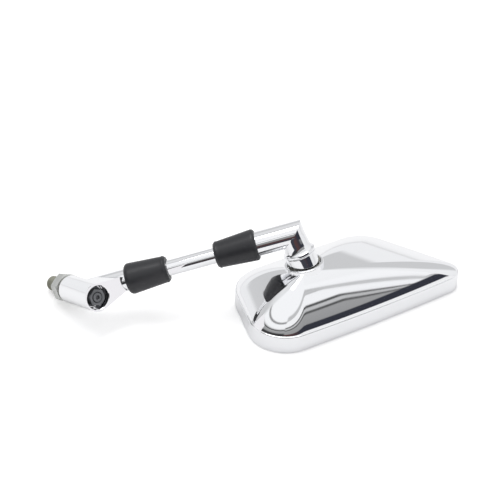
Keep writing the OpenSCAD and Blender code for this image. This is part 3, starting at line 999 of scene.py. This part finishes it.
@dataclass
class Base(Assembly):
    """The chromed knuckle, the threaded stud and its nuts."""

    front: float = 23.5
    barrel_length: float = 37.6
    barrel_r: float = 9.1
    barrel_rounds: Point2 = (0.6, 0.5)
    recess_r: float = 7.6
    recess_depth: float = 9
    recess_chamfer: float = 0.4
    recess_round: float = 0.4
    neck_r: float = 7.2
    neck_length: float = 42
    neck_round: float = 0.5
    bore_r: float = 4.05
    bore_low: float = 27
    bore_high: float = 60
    web_thick: float = 15
    web_reach: float = 17
    web_end_r: float = 5.6
    cut_over: float = 2
    cut_front: float = 12
    stud_r: float = 5
    stud_play: float = 0.05
    stud_end_round: float = 1.6
    stud_length: float = 65.8
    thread_pitch: float = 1.25
    thread_depth: float = 0.61  # of the pitch
    thread_steps: int = 40
    thread_start: float = 1
    thread_play: float = 0.02
    flange_r: float = 7.4
    flange_thick: float = 2.5
    flange_round: float = 0.3
    flange_play: float = 0.1
    lock_flats: float = 17
    lock_thick: float = 8
    lock_play: float = 0.4
    lock_grip: float = 0.15
    small_flats: float = 10
    small_thick: float = 5
    tip_r: float = 3
    tip_over: float = 0.4
    tip_round: float = 0.5
    nut_sink: float = 0.6
    nut_slope: float = 0.55  # rise of the chamfer over its width
    nut_edge: float = 0.12
    nut_edge_angle: float = 24
    centre_r: float = 1.4
    centre_depth: float = 2
    washer_r: float = 6
    washer_hole_r: float = 3.2
    washer_thick: float = 1.2
    disc_spring: float = 1.7

    def back(self) -> float:
        """Return the height of the barrel's back face."""
        return self.front - self.barrel_length

    def floor(self) -> float:
        """Return the height of the recess's floor."""
        return self.front - self.recess_depth

    def flange_front(self) -> float:
        """Return the height of the stud's flange against the barrel."""
        return self.back() - self.flange_play

    def washer_low(self) -> float:
        """Return the height of the small washer's lower face."""
        return self.floor() + self.disc_spring

    def web(self) -> BMesh:
        """Loft the teardrop web between the barrel and the neck.

        Returns:
            The solid, in the barrel's frame.
        """
        tangent = QUARTER - math.asin((self.barrel_r - self.web_end_r) / self.web_reach)
        outline = arc((0, 0), self.barrel_r, tangent, math.tau - tangent, 40)
        outline += arc((self.web_reach, 0), self.web_end_r, -tangent, tangent, 20)
        low = self.front - self.web_thick
        return lofted([lifted(outline, low + self.web_thick * k / 8) for k in range(9)])

    def build_knuckle(self) -> None:
        """Make the knuckle: barrel, web and neck, with the recess in its front."""
        front, floor, wide = self.front, self.floor(), self.recess_r + self.recess_chamfer
        to_barrel = self.layout.arm.within(self.layout.barrel)
        barrel = pillar(self.barrel_r, self.back(), front, *self.barrel_rounds)
        neck = moved(pillar(self.neck_r, 0, self.neck_length, top=self.neck_round), to_barrel)
        bore = moved(pillar(
            self.bore_r, self.bore_low, self.bore_high, steps=48, longest=math.inf), to_barrel)
        recess = lathe([
            (0, floor), (self.recess_r, floor, self.recess_round),
            (self.recess_r, front - self.recess_chamfer),
            (wide, front), (wide, front + self.cut_front), (0, front + self.cut_front)])
        hole = pillar(self.stud_r + self.stud_play, self.back() - self.cut_over,
                      floor + self.cut_over, steps=64, longest=math.inf)
        bm = merged(self.web(), [
            (Cut.ADD, barrel), (Cut.ADD, neck),
            (Cut.TAKE, recess), (Cut.TAKE, hole), (Cut.TAKE, bore)])
        self.dress(bm, self.layout.barrel, "knuckle_casting", "knuckle", "chrome", "knuckle")

    def thread(self, low: float, high: float, crest: float) -> BMesh:
        """Sweep a rolled thread between two heights.

        Args:
            low: its lower end.
            high: its upper end.
            crest: radius of the crests.

        Returns:
            An open helical skin.
        """
        pitch, steps = self.thread_pitch, self.thread_steps
        root = crest - self.thread_depth * pitch
        turns = math.ceil((high - low) / pitch)
        flanks = [(root, 0), (root, 0.12), (crest, 0.44), (crest, 0.56), (root, 0.88), (root, 1)]
        bm = bmesh.new()
        verts = [bm.verts.new((r, 0, share * pitch + low)) for r, share in flanks]
        edges = [bm.edges.new(pair) for pair in zip(verts, verts[1:])]
        bmesh.ops.spin(
            bm, geom=verts + edges, cent=(0, 0, 0), axis=(0, 0, 1), angle=math.tau * turns,
            steps=steps * turns, dvec=(0, 0, pitch / steps), use_merge=False,
        )
        bmesh.ops.remove_doubles(bm, verts=bm.verts, dist=0.01)
        return bm

    def build_stud(self) -> None:
        """Make the stud: a turned core, the rolled thread round it and its front pin."""
        end, floor, flange_front = self.front - self.stud_length, self.floor(), self.flange_front()
        flange_back = flange_front - self.flange_thick
        root = self.stud_r - self.thread_depth * self.thread_pitch
        body = lathe([
            (0, end), (root, end, self.stud_end_round), (root, flange_back),
            (self.flange_r, flange_back, self.flange_round),
            (self.flange_r, flange_front, self.flange_round), (self.stud_r, flange_front),
            (self.stud_r, floor, 0.2), (0, floor)], 72, 2)
        thread_high = flange_back - self.lock_play - self.lock_thick + 2 * self.thread_pitch
        skin = self.thread(end + self.thread_start, thread_high, self.stud_r - self.thread_play)
        mesh = bpy.data.meshes.new("thread")
        skin.to_mesh(mesh)
        skin.free()
        body.from_mesh(mesh)
        bpy.data.meshes.remove(mesh)
        bmesh.ops.recalc_face_normals(body, faces=body.faces)
        self.dress(body, self.layout.barrel, "spindle_stud", "base", "zinc_stud", "stud", 34)
        tip = self.washer_low() + self.washer_thick + self.small_thick + self.tip_over
        depth = self.centre_depth
        pin = lathe([
            (0, floor), (self.tip_r, floor), (self.tip_r, tip, self.tip_round),
            (self.centre_r, tip, 0.15), (self.centre_r - 0.3, tip - depth * 0.8, 0.2),
            (0, tip - depth)], 64, math.inf)
        self.dress(pin, self.layout.barrel, "pivot_pin_dark", "base", "dark_steel", "stud", 34)

    def nut(self, flats: float, bore: float, low: float, high: float) -> BMesh:
        """Make a hexagon nut with turned chamfers and a countersunk bore.

        Args:
            flats: width across the flats.
            bore: radius of its hole.
            low: its lower face.
            high: its upper face.

        Returns:
            The nut.
        """
        corner, sink = flats / math.sqrt(3), self.nut_sink
        rise = (corner - flats / 2) * self.nut_slope
        chamfer = [(0, low), (flats / 2, low), (corner, low + rise), (corner, high - rise),
                   (flats / 2, high), (0, high)]
        hole = [(0, low - 1), (bore + sink + 1, low - 1), (bore + sink, low), (bore, low + sink),
                (bore, high - sink), (bore + sink, high), (bore + sink + 1, high + 1),
                (0, high + 1)]
        bm = merged(hex_prism(flats, low, high), [
            (Cut.KEEP, lathe(chamfer, 120, math.inf)), (Cut.TAKE, lathe(hole, 72, math.inf))])
        return soften(bm, self.nut_edge, self.nut_edge_angle)

    def build_nuts(self) -> None:
        """Make the lock nut, and the small nut and washer in the recess."""
        barrel, low, hole_r = self.layout.barrel, self.washer_low(), self.washer_hole_r
        nut_low = low + self.washer_thick
        lock_high = self.flange_front() - self.flange_thick - self.lock_play
        lock = self.nut(self.lock_flats, self.stud_r - self.lock_grip,
                        lock_high - self.lock_thick, lock_high)
        self.dress(lock, barrel, "lock_nut_zinc", "base", "zinc_nut", "lock_nut")
        small = self.nut(self.small_flats, self.tip_r + self.stud_play, nut_low,
                         nut_low + self.small_thick)
        self.dress(small, barrel, "pivot_nut_dark", "base", "dark_steel", "pivot_nut")
        washer = lathe([
            (hole_r, low + self.washer_thick / 2), (hole_r, low), (self.washer_r, low, 0.2),
            (self.washer_r, nut_low, 0.2), (hole_r, nut_low)], 80, math.inf)
        self.dress(washer, barrel, "pivot_washer_dark", "base", "dark_steel", "pivot_washer")

    def build(self) -> None:
        """Build the knuckle, the stud and the nuts."""
        self.build_knuckle()
        self.build_stud()
        self.build_nuts()


@dataclass
class Arm(Assembly):
    """The chromed rod and its two rubber boots."""

    rod_r: float = 5.15
    thread_r: float = 4
    thread_depth: float = 16
    jam_room: float = 8
    boot_length: float = 27.5
    boot_wide_r: float = 10.4
    boot_narrow_r: float = 8.5
    boot_round: float = 3
    boot_grip: float = 10.5
    boot_play: float = 0.1
    boot_bead: float = 0.35
    boot_bead_foot: float = 2.6
    boot_bead_top: float = 1.6
    boot_end_fall: float = 0.9
    boot_hollow_r: float = 7.7
    boot_hollow_end: float = 10
    boot_neck: float = 8

    def elbow_end(self) -> float:
        """Return how far along the arm the elbow's socket starts."""
        return self.layout.arm_length - Elbow.socket_length

    def build_rod(self) -> None:
        """Make the straight rod with its thinner ends."""
        thin, rod_r = self.thread_r, self.rod_r
        low, high = Base.neck_length - self.thread_depth, self.elbow_end() + self.thread_depth
        rod_low, rod_high = Base.neck_length + self.jam_room, self.elbow_end() - self.jam_room
        bm = lathe([
            (0, low), (thin, low, 0.7), (thin, rod_low), (rod_r, rod_low, 0.5),
            (rod_r, rod_high, 0.5), (thin, rod_high), (thin, high, 0.7), (0, high)], 96, 4)
        self.dress(bm, self.layout.arm, "arm_rod_chrome", "arm", "chrome", "arm_rod", 36)

    def build_boot(self, name: str, node: str, socket_r: float, start: float, flip: int) -> None:
        """Make one rubber boot.

        Args:
            name: the piece's name.
            node: the solid that it stands for.
            socket_r: radius of the socket that it grips.
            start: where its wide end lies along the arm.
            flip: -1 where the wide end points up the arm, else 1.
        """
        mouth, end = socket_r + self.boot_play, self.boot_length
        wide, narrow, hollow = self.boot_wide_r, self.boot_narrow_r, self.boot_hollow_r
        tip_r = self.rod_r + self.boot_play
        bm = lathe([
            (mouth, 0), (wide, 0, min(self.boot_round, wide - mouth - 0.15)),
            (narrow + 0.1, end - self.boot_bead_foot),
            (narrow + self.boot_bead, end - self.boot_bead_top, 0.8),
            (narrow - self.boot_end_fall, end, 0.6), (tip_r, end, 0.1),
            (tip_r, end - self.boot_neck), (hollow, end - self.boot_hollow_end),
            (hollow, self.boot_grip + 1), (mouth, self.boot_grip)], 96, round_steps=6)
        bmesh.ops.scale(bm, vec=(1, 1, flip), verts=bm.verts)
        bmesh.ops.recalc_face_normals(bm, faces=bm.faces)
        bmesh.ops.translate(bm, verts=bm.verts, vec=(0, 0, start))
        self.dress(bm, self.layout.arm, name, "arm", "boot_rubber", node, 40)

    def build(self) -> None:
        """Build the rod and the boots."""
        low, high = Base.neck_length - self.boot_grip, self.elbow_end() + self.boot_grip
        self.build_rod()
        self.build_boot("lower_rubber_boot", "lower_boot", Base.neck_r, low, 1)
        self.build_boot("upper_rubber_boot", "upper_boot", Elbow.socket_r, high, -1)


def dress_hidden(materials: Mapping[str, Material]) -> None:
    """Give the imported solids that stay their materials.

    Args:
        materials: the materials by the names of their slots.
    """
    chosen = {
        "disc_spring": "dark_steel", "lower_jam_nut": "zinc_nut", "upper_jam_nut": "zinc_nut",
        "ball_bolt": "dark_steel", "cup_washer": "dark_steel", "tension_spring": "dark_steel",
        "spring_washer": "zinc_nut", "ball_nut": "zinc_nut", "seat_liner": "nylon",
        "backing_pad": "foam",
    }
    for node, slot in chosen.items():
        obj = frame["nodes"][node]
        obj.data.materials.clear()
        obj.data.materials.append(materials[slot])
        log.info("%s: %s", node, slot)


# Studio

WHITE = (1, 1, 1)
COOL_WHITE = (0.985, 0.99, 1)
# What metal sees on each side of the room: brightness by elevation in degrees
FRONT_LEVELS = (
    (0, 0.3), (14, 0.33), (22.6, 0.36), (23.3, 0.09), (24.6, 0.09), (25.4, 0.55), (27.6, 0.6),
    (28.2, 0.08), (29.6, 0.08), (30.4, 0.98), (38, 0.98), (38.8, 0.5), (40.4, 0.62), (41.8, 0.5),
    (43.6, 0.72), (45, 1), (90, 1))
CORNER_LEVELS = (
    (0, 0.04), (15, 0.05), (18, 0.3), (24, 0.42), (25, 0.1), (26.5, 0.1), (27.5, 0.6), (30, 0.98),
    (36, 1), (37, 0.3), (38.5, 0.3), (39.5, 1), (90, 1))
BACK_LEVELS = (
    (0, 0.92), (8, 0.92), (10, 0.64), (32, 0.64), (36, 0.8), (60, 0.8), (70, 0.9), (90, 1))
LEFT_LEVELS = (
    (0, 0.92), (9, 0.9), (13, 0.66), (30, 0.62), (38, 0.8), (46, 0.84), (56, 0.8), (62, 0.66),
    (78, 0.66), (86, 1))
RIGHT_LEVELS = ((0, 0.88), (20, 0.92), (50, 0.97), (90, 1))


@dataclass
class Studio:
    """White floor, white surroundings, one lamp and the camera."""

    lens: float = 78.84
    camera_at: tuple[float, float, float] = (-1.748, -574.053, 457.571)
    camera_elevation: float = 36
    floor_half: float = 6000
    floor_colour: Colour = (0.88, 0.88, 0.885)
    floor_glow: float = 0.3
    floor_end: float = 280
    floor_fade: float = 20
    floor_bend: float = 150
    floor_slant: float = 0.45
    floor_dark: Colour = (0.05, 0.052, 0.065)
    front_slant: float = 0.27
    front_squeeze: tuple[float, float, float, float] = (52.5, 61.5, 1.0, 0.32)
    front_end: float = 68.5
    foot_top: tuple[float, float] = (12.6, 11.2)
    foot_left: Colour = (0.09, 0.05, 0.05)
    foot_right: Colour = (0.035, 0.037, 0.05)
    room_light: float = 0.85
    card_turn: float = 62.5
    card_tilt: float = 0.04
    card_away: float = 45
    card_size: tuple[float, float] = (46, 44)
    card_colour: Colour = (0.93, 0.915, 0.93)
    lamp_at: tuple[float, float, float] = (-100, 120, 1000)
    lamp_size: tuple[float, float] = (800, 300)
    lamp_power: float = 3

    def build_camera(self) -> None:
        """Place the camera of the main view."""
        data = bpy.data.cameras.new("camera")
        data.lens = self.lens
        data.sensor_width = 36
        data.clip_start, data.clip_end = 0.01, 100
        camera = bpy.data.objects.new("camera", data)
        camera.location = Vector(self.camera_at) * MM
        camera.rotation_euler = (math.radians(90 - self.camera_elevation), 0, 0)
        bpy.context.scene.collection.objects.link(camera)
        bpy.context.scene.camera = camera

    def stage_sheet(self, name: str, bm: BMesh) -> tuple[Object, Wiring]:
        """Stand a sheet of the studio, with an empty material.

        Args:
            name: its name.
            bm: its mesh in metres, freed here.

        Returns:
            The sheet and its material's wiring.
        """
        sheet = new_object(name, bm)
        material = bpy.data.materials.new(name)
        sheet.data.materials.append(material)
        return sheet, emptied(material)

    def build_floor(self) -> None:
        """Lay the white floor."""
        bm = bmesh.new()
        bmesh.ops.create_grid(bm, x_segments=2, y_segments=2, size=self.floor_half * MM)
        _, wires = self.stage_sheet("floor", bm)
        rays = wires.node("ShaderNodeLightPath").outputs
        glow = wires.shine("ShaderNodeEmission", WHITE, wires.maths(
            "MULTIPLY", rays["Is Camera Ray"], self.floor_glow))
        plain = wires.node("ShaderNodeBsdfDiffuse", {"Color": self.floor_colour}).outputs[0]
        white = wires.node("ShaderNodeAddShader", {0: plain, 1: glow}).outputs[0]
        # Metal sees the floor end in the dark front of the room, nearer on its right
        dark = wires.shine("ShaderNodeEmission", self.floor_dark)
        spot = wires.node("ShaderNodeTexCoord").outputs["Object"]
        x, y, _ = wires.node("ShaderNodeSeparateXYZ", {"Vector": spot}).outputs
        bend = wires.maths("MAXIMUM", wires.maths("SUBTRACT", x, self.floor_bend * MM), 0.0)
        depth = wires.maths("ADD", y, wires.maths("MULTIPLY", bend, self.floor_slant))
        end = -self.floor_end * MM
        past = wires.ranged(depth, end, end + self.floor_fade * MM, 1.0, 0.0)
        seen = wires.maths("MULTIPLY", past, rays["Is Glossy Ray"])
        wires.node("ShaderNodeOutputMaterial", {"Surface": wires.either(seen, white, dark)})

    def levels(self, wires: Wiring, height: NodeSocket,
               stops: Sequence[tuple[float, float]]) -> NodeSocket:
        """Return the brightness at a height, 1 being overhead, from stops in degrees."""
        return wires.ramp(height, [(e / 90, tuple(v * t for t in COOL_WHITE)) for e, v in stops])

    def build_world(self) -> None:
        """Light the room evenly and give metal a studio to show."""
        world = bpy.data.worlds.new("studio")
        bpy.context.scene.world = world
        wires = emptied(world)
        rays = wires.node("ShaderNodeLightPath").outputs
        way = wires.node("ShaderNodeTexCoord").outputs["Generated"]
        x, y, z = wires.node("ShaderNodeSeparateXYZ", {"Vector": way}).outputs
        height = wires.maths("DIVIDE", wires.maths("ARCSINE", z), QUARTER)
        up = wires.maths("MULTIPLY", height, 90.0)
        # Azimuth in degrees: 0 towards the camera, 90 to the right
        ahead = wires.maths("MULTIPLY", y, -1.0)
        turn = wires.maths("MULTIPLY", wires.maths("ARCTAN2", x, ahead), math.degrees(1))
        # The front's bands run down towards the right, but its dark foot doesn't
        along = wires.maths("SUBTRACT", turn, wires.maths("MULTIPLY", up, self.front_slant))
        squeeze = wires.ranged(along, *self.front_squeeze)
        low_height = wires.maths("MINIMUM", wires.maths("DIVIDE", height, squeeze), 1.0)
        front = self.levels(wires, low_height, FRONT_LEVELS)
        foot = wires.blend(wires.ranged(turn, 15, 40), self.foot_left, self.foot_right)
        front = wires.blend(wires.ranged(up, *self.foot_top), front, foot)
        room = self.levels(wires, height, CORNER_LEVELS)
        end = self.front_end
        for angle, low, high, side in (
            (turn, -90, -100, self.levels(wires, height, LEFT_LEVELS)),
            (turn, -9, -4, front),
            (turn, end - 1, end + 0.5, self.levels(wires, height, RIGHT_LEVELS)),
            (wires.maths("ABSOLUTE", turn), 128, 138, self.levels(wires, height, BACK_LEVELS)),
        ):
            room = wires.blend(wires.ranged(angle, low, high), room, side)
        lit = wires.either(
            rays["Is Glossy Ray"], wires.shine("ShaderNodeBackground", WHITE, self.room_light),
            wires.shine("ShaderNodeBackground", room))
        backdrop = wires.shine("ShaderNodeBackground", WHITE)
        wires.node("ShaderNodeOutputWorld", {
            "Surface": wires.either(rays["Is Camera Ray"], lit, backdrop)})

    def build_card(self, knuckle: Vector) -> None:
        """Stand a pale card where only the knuckle's flat face shows it.

        Args:
            knuckle: a point on the knuckle's front.
        """
        turn = math.radians(self.card_turn)
        way = Vector((math.sin(turn), -math.cos(turn), self.card_tilt))
        side = Vector((math.cos(turn), math.sin(turn), 0))
        middle = knuckle + way * self.card_away * MM
        half_wide, half_high = (v * MM / 2 for v in self.card_size)
        bm = bmesh.new()
        bmesh.ops.create_grid(bm, x_segments=2, y_segments=2, size=1)
        for vert in bm.verts:
            vert.co = middle + side * vert.co.x * half_wide + UP * vert.co.y * half_high
        card, wires = self.stage_sheet("pale_card", bm)
        glow = wires.shine("ShaderNodeEmission", self.card_colour)
        wires.node("ShaderNodeOutputMaterial", {"Surface": glow})
        card.visible_camera = card.visible_diffuse = card.visible_shadow = False

    def build_lamp(self) -> None:
        """Hang one large soft lamp over the mirror."""
        data = bpy.data.lights.new("soft_lamp", "AREA")
        data.shape = "RECTANGLE"
        data.size, data.size_y = (side * MM for side in self.lamp_size)
        data.energy = self.lamp_power
        lamp = bpy.data.objects.new("soft_lamp", data)
        lamp.location = Vector(self.lamp_at) * MM
        lamp.rotation_euler = (-lamp.location).to_track_quat("-Z", "Y").to_euler()
        bpy.context.scene.collection.objects.link(lamp)

    def build(self, knuckle: Vector) -> None:
        """Build the whole studio.

        Args:
            knuckle: a point on the knuckle's front.
        """
        bpy.context.scene.view_settings.view_transform = "Standard"
        self.build_camera()
        self.build_floor()
        self.build_world()
        self.build_lamp()
        self.build_card(knuckle)


def main() -> None:
    """Build the mirror and its studio in order."""
    logging.basicConfig(level=logging.INFO, format="%(message)s")
    layout = Layout.from_joints(HeadOutline.front_turn)
    Studio().build(layout.barrel.centre + layout.barrel.z_dir * Base.front * MM)
    materials = build_finishes()
    for assembly in (Head, Elbow, Arm, Base):
        assembly(layout, materials).build()
    dress_hidden(materials)


if __name__ == "__main__":
    main()
